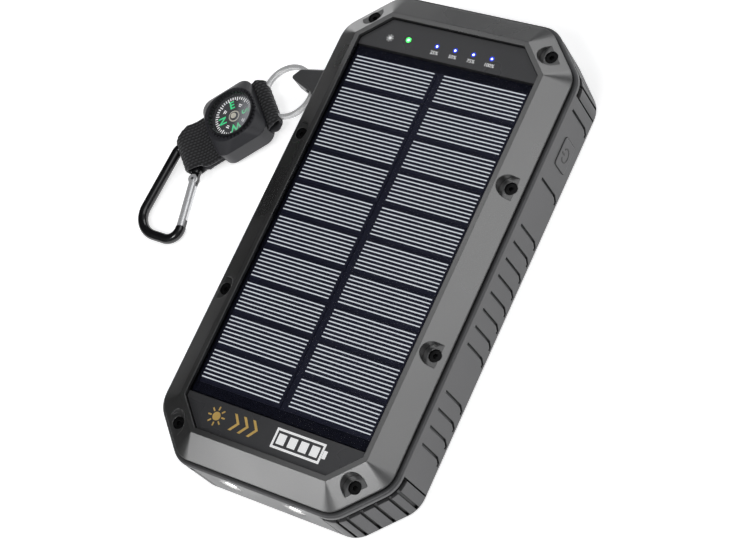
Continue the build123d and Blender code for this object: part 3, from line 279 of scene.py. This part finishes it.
lights = Recipe("charge_lights", 0.25)
along_x = lights.node("ShaderNodeSeparateXYZ", lights.coords).outputs[0]
is_green = lights.math("LESS_THAN", along_x, -0.010)
lamp_noise = lights.spread(lights.noise(0.0005, 2.0), 0.7, 1.0)
lamp_colour = lights.mix(is_green, (0.01, 0.04, 0.62), (0.05, 1.0, 0.10))
lights.colour(lights.mix(lamp_noise, (0.02, 0.02, 0.02), lamp_colour))
lights.tree.links.new(lamp_colour, lights.shader.inputs["Emission Color"])
lights.tree.links.new(
    lights.math("MULTIPLY", lamp_noise, lights.math("MULTIPLY_ADD", is_green, 4.0, 0.9)),
    lights.shader.inputs["Emission Strength"],
)

torch = Recipe("torch_lens", 0.05, IOR=1.49, Coat_Weight=1.0, Coat_Roughness=0.03)
ripple = torch.noise(0.0012, 2.0)
torch.colour(torch.mix(torch.spread(ripple, 0.0, 1.0), (0.78, 0.80, 0.84), (0.95, 0.96, 0.98)))
torch.set("Emission Color", (1.0, 0.99, 0.96))
torch.tree.links.new(torch.spread(ripple, 9.0, 15.0), torch.shader.inputs["Emission Strength"])
torch.bump(ripple, 0.00008, 0.5)

paint(cover, "top_cover")
paint(case, "lower_case", "power_button")
paint(rubber, "bumper_near_left", "bumper_near_right", "bumper_far_left", "bumper_far_right")
paint(rubber, "port_cover", "port_cover_anchor")
paint(gasket, "seal_gasket")
paint(strips, "indicator_strip", "lower_strip")
paint(screws, "cover_screws")
paint(steel, "board_screws", "usb_a_ports", "usb_c_port", "gate_pin", "gate_spring")
paint(polished, "split_ring")
paint(gate_silver, "carabiner_gate")
paint(carabiner, "carabiner_body")
paint(housing, "compass_housing", "compass_back_plate")
paint(bezel, "compass_bezel")
paint(dial, "compass_cup", "compass_card")
paint(brass, "compass_pivot")
paint(board, "main_board", "indicator_board")
paint(white_board, "torch_board")
paint(cells.material, "panel_backboard")
paint(parts_black, "board_components", "tact_switch", "switch_plunger")
paint(foil, "battery_cell_lower", "battery_cell_upper")
paint(foam, "foam_pads")
paint(red_wire, "battery_leads_red", "solar_lead_red", "torch_lead_red")
paint(black_wire, "battery_leads_black", "solar_lead_black", "torch_lead_black")
paint(led_yellow, "torch_leds", "indicator_leds")
paint(cells.material, "solar_cells")
paint(lens.material, "panel_lens")
paint(dome.material, "compass_lens")
paint(lights.material, "indicator_lenses")
paint(torch.material, "torch_lenses")


# ---------------------------------------------------------------- mesh helpers
def piece(name, mesh, material, body):
    made = bpy.data.objects.new(name, mesh)
    bpy.context.collection.objects.link(made)
    mesh.materials.clear()
    mesh.materials.append(material)
    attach(made, body)
    return made


def from_bmesh(name, work, smooth=False):
    mesh = bpy.data.meshes.new(name)
    bmesh.ops.recalc_face_normals(work, faces=work.faces)
    work.to_mesh(mesh)
    work.free()
    for face in mesh.polygons:
        face.use_smooth = smooth
    return mesh


def slab(work, outline, bottom, top, place=None):
    """Adds a flat plate with the given outline, in millimetres, between two heights."""
    place = place or Matrix.Scale(MM, 4)
    rings = []
    for z in (bottom, top):
        rings.append([work.verts.new(place @ Vector((x, y, z))) for x, y in outline])
    count = len(outline)
    work.faces.new(list(reversed(rings[0])))
    work.faces.new(rings[1])
    for i in range(count):
        j = (i + 1) % count
        work.faces.new((rings[0][i], rings[0][j], rings[1][j], rings[1][i]))


def rectangle(x, y, width, height, turn=0.0):
    c, s = math.cos(turn), math.sin(turn)
    points = []
    for dx, dy in ((-1, -1), (1, -1), (1, 1), (-1, 1)):
        px, py = dx * width / 2, dy * height / 2
        points.append((x + px * c - py * s, y + px * s + py * c))
    return points


def circle(x, y, radius, count=32, start=0.0, sweep=2 * math.pi):
    steps = count if abs(sweep - 2 * math.pi) < 1e-6 else count + 1
    return [
        (x + radius * math.cos(start + sweep * i / count), y + radius * math.sin(start + sweep * i / count))
        for i in range(steps)
    ]


def ring(work, x, y, outer, inner, bottom, top, place=None, start=0.0, sweep=2 * math.pi, count=32):
    """Adds a flat ring or an arc of one."""
    full = abs(sweep - 2 * math.pi) < 1e-6
    for i in range(count):
        a = start + sweep * i / count
        b = start + sweep * (i + 1) / count
        points = [
            (x + inner * math.cos(a), y + inner * math.sin(a)),
            (x + outer * math.cos(a), y + outer * math.sin(a)),
            (x + outer * math.cos(b), y + outer * math.sin(b)),
            (x + inner * math.cos(b), y + inner * math.sin(b)),
        ]
        slab(work, points, bottom, top, place)


def lettering(text, height, x, y, place, name, depth=0.02, narrow=1.0, weight=0.02):
    """Raised generic figures or dial letters, as a mesh in the row frame."""
    curve = bpy.data.curves.new(name, "FONT")
    curve.body = text
    curve.size = height * 1.42
    curve.align_x = "CENTER"
    curve.align_y = "CENTER"
    curve.extrude = depth
    curve.bevel_depth = weight * height
    curve.bevel_resolution = 0
    curve.resolution_u = 3
    holder = bpy.data.objects.new(name, curve)
    bpy.context.collection.objects.link(holder)
    bpy.context.view_layer.update()
    mesh = bpy.data.meshes.new_from_object(holder)
    bpy.data.objects.remove(holder)
    mesh.transform(place @ Matrix.Translation((x, y, 0)) @ Matrix.Diagonal((narrow, 1, 1, 1)))
    return mesh


# ---------------------------------------------------------------- printed lines on the cells
# the silver lines are real print, and their small emission is a painted glow that makes them brighter than
# the lamps do
glowing_line_silver = surface(
    "cell_silver_painted_glow", (0.90, 0.94, 1.0), (0.82, 0.86, 0.92), 0.5, 0.0004, 0.00001, patch=0.006,
    Emission_Color=(0.85, 0.9, 1.0), Emission_Strength=0.12,
)
CELL_ROWS, LINES_PER_CELL = 10, 8
FIRST_LINE, CELL_PITCH, LINE_PITCH, LINE_WIDTH = 55.7, 11.3, 1.23, 0.38
LINE_ENDS = ((-30.2, -2.0), (1.4, 29.7))
cells_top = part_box("solar_cells")[1].z / MM
lines = bmesh.new()
for cell in range(CELL_ROWS):
    for row in range(LINES_PER_CELL):
        y = FIRST_LINE - CELL_PITCH * cell - LINE_PITCH * row
        for x_start, x_end in LINE_ENDS:
            line = rectangle((x_start + x_end) / 2, y, x_end - x_start, LINE_WIDTH)
            slab(lines, line, cells_top + 0.005, cells_top + 0.03)
piece("cell_lines", from_bmesh("cell_lines", lines), glowing_line_silver, "case")

# ---------------------------------------------------------------- marks on the two strips
strip_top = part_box("indicator_strip")[1].z / MM
lens_points = sorted((v.co.x / MM, v.co.y / MM) for v in nodes["indicator_lenses"].data.vertices)
groups = [[lens_points[0]]]
for point in lens_points[1:]:
    if point[0] - groups[-1][-1][0] > 1.0:
        groups.append([])
    groups[-1].append(point)
lens_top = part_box("indicator_lenses")[1].z / MM
cores = bmesh.new()
for group in groups:
    middle_x = (group[0][0] + group[-1][0]) / 2
    middle_y = (min(p[1] for p in group) + max(p[1] for p in group)) / 2
    core_radius = 0.34 if middle_x > -10 else 0.3  # the green light is the one at the left
    slab(cores, circle(middle_x, middle_y, core_radius, 20), lens_top + 0.002, lens_top + 0.02)
core_glow = Recipe("light_core", 0.3)
core_noise = core_glow.spread(core_glow.noise(0.0003, 2.0), 0.85, 1.0)
core_glow.colour(core_glow.mix(core_noise, (0.6, 0.7, 0.9), (0.9, 0.95, 1.0)))
core_glow.set("Emission Color", (0.75, 0.85, 1.0))
core_strength = core_glow.math("MULTIPLY", core_noise, 2.5)
core_glow.tree.links.new(core_strength, core_glow.shader.inputs["Emission Strength"])
piece("light_cores", from_bmesh("light_cores", cores), core_glow.material, "case")
flat_print = Matrix.Scale(MM, 4)
# white print with a painted glow: its emission brightens the ink beyond what the lamps give
glowing_white_ink = surface(
    "glowing_white_ink", (0.97, 0.97, 0.97), (0.90, 0.90, 0.90), 0.5, 0.0003, 0.00001,
    patch=0.004, Emission_Color=(1.0, 1.0, 1.0), Emission_Strength=0.15,
)
gold_ink = surface(
    "gold_ink", (0.80, 0.54, 0.17), (0.68, 0.44, 0.12), 0.45, 0.0003, 0.00001, patch=0.004, metallic=0.3
)


def sun(work, x, y, radius, bottom, top):
    """A sun pictogram: a disc and eight rays."""
    slab(work, circle(x, y, radius * 0.45, 24), bottom, top)
    for i in range(8):
        turn = i * math.pi / 4
        far = radius * 0.8
        slab(
            work,
            rectangle(x + far * math.cos(turn), y + far * math.sin(turn), radius * 0.4, radius * 0.16, turn),
            bottom,
            top,
        )


ink_bottom, ink_top = strip_top + 0.003, strip_top + 0.03
marks = bmesh.new()
sun(marks, -21.6, 63.6, 1.25, ink_bottom, ink_top)
piece("light_icon", from_bmesh("light_icon", marks), glowing_white_ink, "case")
ink_place = flat_print @ Matrix.Translation((0, 0, ink_bottom))
for value, x in (("25%", -4.9), ("50%", 1.6), ("75%", 8.0), ("100%", 14.4)):
    mesh = lettering(value, 1.15, x, 62.0, ink_place, "figure_" + value.strip("%"), weight=0.015)
    piece("figure_" + value.strip("%"), mesh, glowing_white_ink, "case")

MARKS_Y = -64.6  # middle line of the marks on the lower strip
gold = bmesh.new()
sun(gold, -19.0, MARKS_Y, 3.0, ink_bottom, ink_top)
for i in range(3):
    x = -13.6 + 3.3 * i
    foot, head = MARKS_Y - 2.6, MARKS_Y + 2.6
    chevron = [(x, foot), (x + 1.0, foot), (x + 3.0, MARKS_Y), (x + 1.0, head), (x, head), (x + 2.0, MARKS_Y)]
    slab(gold, chevron, ink_bottom, ink_top)
piece("gold_marks", from_bmesh("gold_marks", gold), gold_ink, "case")
white = bmesh.new()
for y in (MARKS_Y - 2.7, MARKS_Y + 2.7):
    slab(white, rectangle(10.2, y, 17.0, 0.7), ink_bottom, ink_top)
for x in (2.05, 18.35):
    slab(white, rectangle(x, MARKS_Y, 0.7, 4.7), ink_bottom, ink_top)
slab(white, rectangle(19.4, MARKS_Y, 1.2, 2.4), ink_bottom, ink_top)
for i in range(4):
    slab(white, rectangle(4.4 + 3.86 * i, MARKS_Y, 2.7, 3.2), ink_bottom, ink_top)
piece("battery_mark", from_bmesh("battery_mark", white), glowing_white_ink, "case")

# ---------------------------------------------------------------- power mark on the button
button_low, button_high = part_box("power_button")
button_face = button_high.x / MM
button_y = (button_low.y + button_high.y) / 2 / MM
button_z = (button_low.z + button_high.z) / 2 / MM
on_button = (
    Matrix.Scale(MM, 4)
    @ Matrix.Translation((button_face, button_y, button_z))
    @ Matrix(((0, 0, 1, 0), (1, 0, 0, 0), (0, 1, 0, 0), (0, 0, 0, 1)))
)
mark = bmesh.new()
ring(mark, 0, 0, 2.3, 1.85, -0.02, 0.06, on_button, math.radians(125), math.radians(290), 28)
slab(mark, rectangle(0, 1.7, 0.5, 2.2), -0.02, 0.06, on_button)
mark_grey = surface("button_mark", (0.012, 0.012, 0.012), (0.006, 0.006, 0.006), 0.35, 0.0003, 0.00001)
piece("power_mark", from_bmesh("power_mark", mark), mark_grey, "button")

# ---------------------------------------------------------------- strap frame
STRAP_HEADING, RING_HEADING = 225.8, 213.4  # degrees
RING_RADIUS, DIAL_DISTANCE, BAR, BAR_HEIGHT = 8.8, 18.9, 39.0, 3.4  # BAR is a distance along the strap
heading = math.radians(STRAP_HEADING)
ring_turn = math.radians(180 + RING_HEADING - STRAP_HEADING)
lug_hole = Vector((-51.9, 50.0, 7.0))
hole = (RING_RADIUS * math.cos(ring_turn), RING_RADIUS * math.sin(ring_turn))
slope = math.asin((lug_hole.z - BAR_HEIGHT) / (BAR - hole[0]))
along = Vector(
    (math.cos(heading) * math.cos(slope), math.sin(heading) * math.cos(slope), -math.sin(slope))
)
across = Vector((-math.sin(heading), math.cos(heading), 0.0))
upward = along.cross(across)
ring_middle = lug_hole - along * hole[0] - across * hole[1]
strap_turn = Matrix((along, across, upward)).transposed().to_4x4()
strap_place = Matrix.Scale(MM, 4) @ Matrix.Translation(ring_middle) @ strap_turn
dial_place = strap_place @ Matrix.Translation((DIAL_DISTANCE, 0, 0))

# ---------------------------------------------------------------- webbing
RING_END, FAR_END = 5.5, 42.3  # distances along the strap
TAPE = 1.15  # thickness of one layer
RIB_ACROSS, RIB_ALONG, RIB_HEIGHT = 1.1, 1.3, 0.2
LAYER, RING_LOOP, BAR_LOOP = 0.62, 2.0, 2.55  # the tape's middle, above the strap's middle plane
half_route = [
    (RING_END + 0.6, 0.0), (RING_END + 0.75, 1.1), (RING_END + 1.4, 1.7), (RING_END + 2.4, RING_LOOP),
    (RING_RADIUS, RING_LOOP), (10.0, 1.5), (11.2, LAYER), (15.0, LAYER), (22.0, LAYER), (29.0, LAYER),
    (32.6, LAYER), (34.6, 1.1), (36.6, 2.0),
]
for degrees in (110, 80, 50, 20):
    turn = math.radians(degrees)
    half_route.append((BAR + BAR_LOOP * math.cos(turn), BAR_LOOP * math.sin(turn)))
route = half_route + [(BAR + BAR_LOOP, 0.0)] + [(x, -z) for x, z in reversed(half_route[1:])]
left_edge = [
    (RING_END, 7.9), (RING_END + 3, 9.55), (32.0, 9.55), (34.5, 9.4), (36.0, 8.2), (39.5, 7.9), (FAR_END, 6.2)
]
right_edge = [(RING_END, -7.9), (RING_END + 3, -9.55), (36.0, -8.6), (FAR_END, -4.4)]


def edge_at(edge, x):
    for (x0, y0), (x1, y1) in zip(edge, edge[1:]):
        if x <= x1:
            return y0 + (y1 - y0) * max(0.0, x - x0) / (x1 - x0)
    return edge[-1][1]


def even_loop(points, step):
    """Points about step apart along a closed route, with its corners rounded off."""
    sides = [(Vector(a), Vector(b)) for a, b in zip(points, points[1:] + points[:1])]
    total = sum((b - a).length for a, b in sides)
    count = int(total / step)
    made, done, index = [], 0.0, 0
    for i in range(count):
        target = total * i / count
        while target > done + (sides[index][1] - sides[index][0]).length:
            done += (sides[index][1] - sides[index][0]).length
            index += 1
        a, b = sides[index]
        made.append(a.lerp(b, (target - done) / (b - a).length))
    for _ in range(6):
        made = [(made[i - 1] + made[i] * 2 + made[(i + 1) % count]) / 4 for i in range(count)]
    return made, total


loop, loop_length = even_loop(route, 0.2)
COLUMNS = 104
tape = bmesh.new()
weave = tape.verts.layers.float_color.new("weave")
outer_rows, inner_rows = [], []
for i, point in enumerate(loop):
    tangent = (loop[(i + 1) % len(loop)] - loop[i - 1]).normalized()
    normal = Vector((-tangent.y, tangent.x))
    if normal.dot(point - Vector((24.0, 0.0))) < 0 and abs(point.y) < 0.3 or normal.y * point.y < 0:
        normal = -normal
    outer_row, inner_row = [], []
    low, high = edge_at(right_edge, point.x), edge_at(left_edge, point.x)
    run = loop_length * i / len(loop)
    for column in range(COLUMNS + 1):
        y = low + (high - low) * column / COLUMNS
        strand = math.floor(y / RIB_ACROSS)
        across_rib = abs(math.sin(math.pi * y / RIB_ACROSS))
        along_rib = abs(math.sin(math.pi * (run / RIB_ALONG + 0.5 * (strand % 2))))
        crest = across_rib * (0.35 + 0.65 * along_rib)
        edge_drop = 0.25 * max(0.0, 1 - min(y - low, high - y) / 0.5)
        rise = TAPE / 2 + RIB_HEIGHT * (crest - 0.6) - edge_drop
        out = point + normal * rise
        inside = point - normal * (TAPE / 2 - 0.1 - edge_drop)
        vert = tape.verts.new(strap_place @ Vector((out.x, y, out.y)))
        vert[weave] = (crest, crest, crest, 1.0)
        outer_row.append(vert)
        inner_row.append(tape.verts.new(strap_place @ Vector((inside.x, y, inside.y))))
    outer_rows.append(outer_row)
    inner_rows.append(inner_row)
for i in range(len(loop)):
    j = (i + 1) % len(loop)
    for c in range(COLUMNS):
        tape.faces.new((outer_rows[i][c], outer_rows[j][c], outer_rows[j][c + 1], outer_rows[i][c + 1]))
        tape.faces.new((inner_rows[i][c + 1], inner_rows[j][c + 1], inner_rows[j][c], inner_rows[i][c]))
    for c in (0, COLUMNS):
        tape.faces.new((outer_rows[i][c], outer_rows[j][c], inner_rows[j][c], inner_rows[i][c]))

cloth = Recipe("webbing_nylon", 0.75, Sheen_Weight=0.25, Sheen_Roughness=0.5)
crest_highlight = cloth.node("ShaderNodeAttribute", attribute_name="weave").outputs["Fac"]
thread = cloth.noise(0.00025, 2.0)
# painted highlight and painted shade: the crests of the weave are coloured lighter and the hollows darker
raised = cloth.math("MULTIPLY_ADD", thread, 0.35, cloth.math("MULTIPLY", crest_highlight, 0.75))
cloth.colour(
    cloth.mix(cloth.spread(raised, 0.0, 1.0, 0.45, 1.0), (0.0035, 0.0035, 0.004), (0.060, 0.060, 0.066))
)
cloth.rough(cloth.spread(thread, 0.6, 0.9))
cloth.bump(thread, 0.00005, 0.8)
webbing = piece("webbing", from_bmesh("webbing", tape, smooth=True), cloth.material, "strap")
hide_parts("webbing_strap")

# ---------------------------------------------------------------- compass dial marks
CARD_TOP = 4.1
PRINT_BOTTOM, PRINT_TOP = CARD_TOP + 0.005, CARD_TOP + 0.04
TICKS = 48
north = math.radians(-8)  # the dial's N, from the strap's x axis
# the white ticks and green letters are print with a painted glow: their emission brightens them beyond what
# the lamps give
glowing_dial_white = surface(
    "glowing_dial_white", (0.97, 0.97, 0.97), (0.90, 0.90, 0.90), 0.5, 0.0002, 0.00001,
    patch=0.002, Emission_Color=(1.0, 1.0, 1.0), Emission_Strength=0.4,
)
glowing_dial_green = surface(
    "glowing_dial_green", (0.04, 0.95, 0.34), (0.03, 0.80, 0.27), 0.5, 0.0002, 0.00001,
    patch=0.002, Emission_Color=(0.04, 0.8, 0.3), Emission_Strength=0.25,
)
hub_cream = surface("hub_cream", (0.82, 0.78, 0.66), (0.70, 0.66, 0.54), 0.35, 0.0002, 0.00001, patch=0.002)
ticks = bmesh.new()
for i in range(TICKS):
    turn = 2 * math.pi * i / TICKS
    length = 1.35 if i % 4 == 0 else 0.95
    far = 6.9 - length / 2
    tick = rectangle(far * math.cos(turn), far * math.sin(turn), length, 0.36, turn)
    slab(ticks, tick, PRINT_BOTTOM, PRINT_TOP, dial_place)
for i in range(4):
    turn = math.pi / 4 + i * math.pi / 2 + north
    for far, length, width in ((4.3, 1.3, 0.35), (3.7, 0.9, 0.3)):
        bar = rectangle(far * math.cos(turn), far * math.sin(turn), length, width, turn + math.pi / 2)
        slab(ticks, bar, PRINT_BOTTOM, PRINT_TOP, dial_place)
piece("dial_ticks", from_bmesh("dial_ticks", ticks), glowing_dial_white, "card")
for letter, quarter in (("N", 0), ("E", -1), ("S", -2), ("W", -3)):
    turn = north + quarter * math.pi / 2
    spot = dial_place @ Matrix.Translation((4.1 * math.cos(turn), 4.1 * math.sin(turn), CARD_TOP + 0.01))
    outward = spot @ Matrix.Rotation(turn - math.pi / 2, 4, "Z")
    mesh = lettering(letter, 2.6, 0, 0, outward, "dial_" + letter, weight=0.035)
    piece("dial_" + letter, mesh, glowing_dial_green, "card")
hub = bmesh.new()
slab(hub, circle(0, 0, 1.0, 32), 4.56, 4.60, dial_place)
ring(hub, 0, 0, 1.95, 1.55, CARD_TOP + 0.005, CARD_TOP + 0.05, dial_place)
piece("dial_hub", from_bmesh("dial_hub", hub), hub_cream, "card")

# ---------------------------------------------------------------- floor and studio
FLOOR_HALF = 2.0
floor_mesh = bpy.data.meshes.new("floor")
floor_corners = [(x * FLOOR_HALF, y * FLOOR_HALF, 0) for x, y in ((-1, -1), (1, -1), (1, 1), (-1, 1))]
floor_mesh.from_pydata(floor_corners, [], [(0, 1, 2, 3)])
floor = bpy.data.objects.new("floor", floor_mesh)
bpy.context.collection.objects.link(floor)
floor.location.z = -0.00002
paper = Recipe("floor_paper", 0.9)
fibres = paper.noise(0.002, 2.0)
paper.colour(paper.mix(fibres, (0.86, 0.86, 0.86), (0.90, 0.90, 0.90)))
paper.bump(fibres, 0.00001, 0.3)
# painted pool of light: the floor glows most near the middle and fades further out
paper.set("Emission Color", (1.0, 1.0, 1.0))
reach = paper.node("ShaderNodeVectorMath", paper.coords, operation="LENGTH").outputs["Value"]
paper.tree.links.new(paper.spread(reach, 0.62, 0.12, 0.26, 0.7), paper.shader.inputs["Emission Strength"])
floor_mesh.materials.append(paper.material)

world = bpy.data.worlds.new("studio")
bpy.context.scene.world = world
world.use_nodes = True
backdrop = world.node_tree.nodes["Background"]
backdrop.inputs["Color"].default_value = (0.95, 0.97, 1.0, 1.0)
seen = world.node_tree.nodes.new("ShaderNodeLightPath")
level = world.node_tree.nodes.new("ShaderNodeMapRange")
level.inputs["To Min"].default_value = 0.2
level.inputs["To Max"].default_value = 0.9
world.node_tree.links.new(seen.outputs["Is Camera Ray"], level.inputs["Value"])
world.node_tree.links.new(level.outputs["Result"], backdrop.inputs["Strength"])
bpy.context.scene.view_settings.view_transform = "Standard"


def softbox(name, direction, distance, width, height, radiance):
    """A rectangular lamp at a direction from the case's middle, facing it."""
    lamp = bpy.data.lights.new(name, "AREA")
    lamp.shape = "RECTANGLE"
    lamp.size = width
    lamp.size_y = height
    lamp.energy = radiance * width * height * math.pi
    holder = bpy.data.objects.new(name, lamp)
    toward = Vector(direction).normalized()
    holder.location = Vector((0, 0, 0.02)) + toward * distance
    holder.rotation_euler = toward.to_track_quat("Z", "Y").to_euler()
    bpy.context.collection.objects.link(holder)
    return holder


softbox("key_right", (0.475, 0.255, 0.843), 1.4, 0.75, 0.9, 1.3)
softbox("overhead", (-0.512, 0.255, 0.819), 1.5, 0.5, 0.5, 1.0)
softbox("far_right", (0.064, 0.831, 0.552), 1.5, 0.6, 0.5, 2.2)
softbox("key_near", (-0.512, -0.598, 0.617), 1.4, 0.7, 0.6, 3.2)
softbox("rim_far_left", (-0.82, 0.56, 0.06), 1.6, 0.35, 0.25, 6.0)
softbox("top", (0.25, -0.85, 1.6), 1.8, 0.45, 0.45, 9.0)

# a black flag that only reflections see keeps the bevel on the strap's side dark
flag_mesh = bpy.data.meshes.new("flag")
flag_mesh.from_pydata(
    [(-0.11, -0.17, 0.0), (-0.11, 0.10, 0.0), (-0.11, 0.10, 0.20), (-0.11, -0.17, 0.20)], [], [(0, 1, 2, 3)]
)
flag = bpy.data.objects.new("flag", flag_mesh)
bpy.context.collection.objects.link(flag)
flag_cloth = surface("flag_cloth", (0.004, 0.004, 0.004), (0.002, 0.002, 0.002), 1.0, 0.002, 0.00001)
flag_mesh.materials.append(flag_cloth)
for rays in ("camera", "diffuse", "shadow", "transmission", "volume_scatter"):
    setattr(flag, "visible_" + rays, False)

torch_low, torch_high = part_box("torch_lenses")
for index, x in enumerate((torch_low.x, torch_high.x)):
    inward = 0.003 if index == 0 else -0.003
    glow = bpy.data.lights.new("torch_glow", "POINT")
    glow.energy = 0.0004
    glow.shadow_soft_size = 0.002
    glow_holder = bpy.data.objects.new("torch_glow", glow)
    glow_holder.location = (x + inward, torch_low.y - 0.004, (torch_low.z + torch_high.z) / 2 + 0.001)
    bpy.context.collection.objects.link(glow_holder)
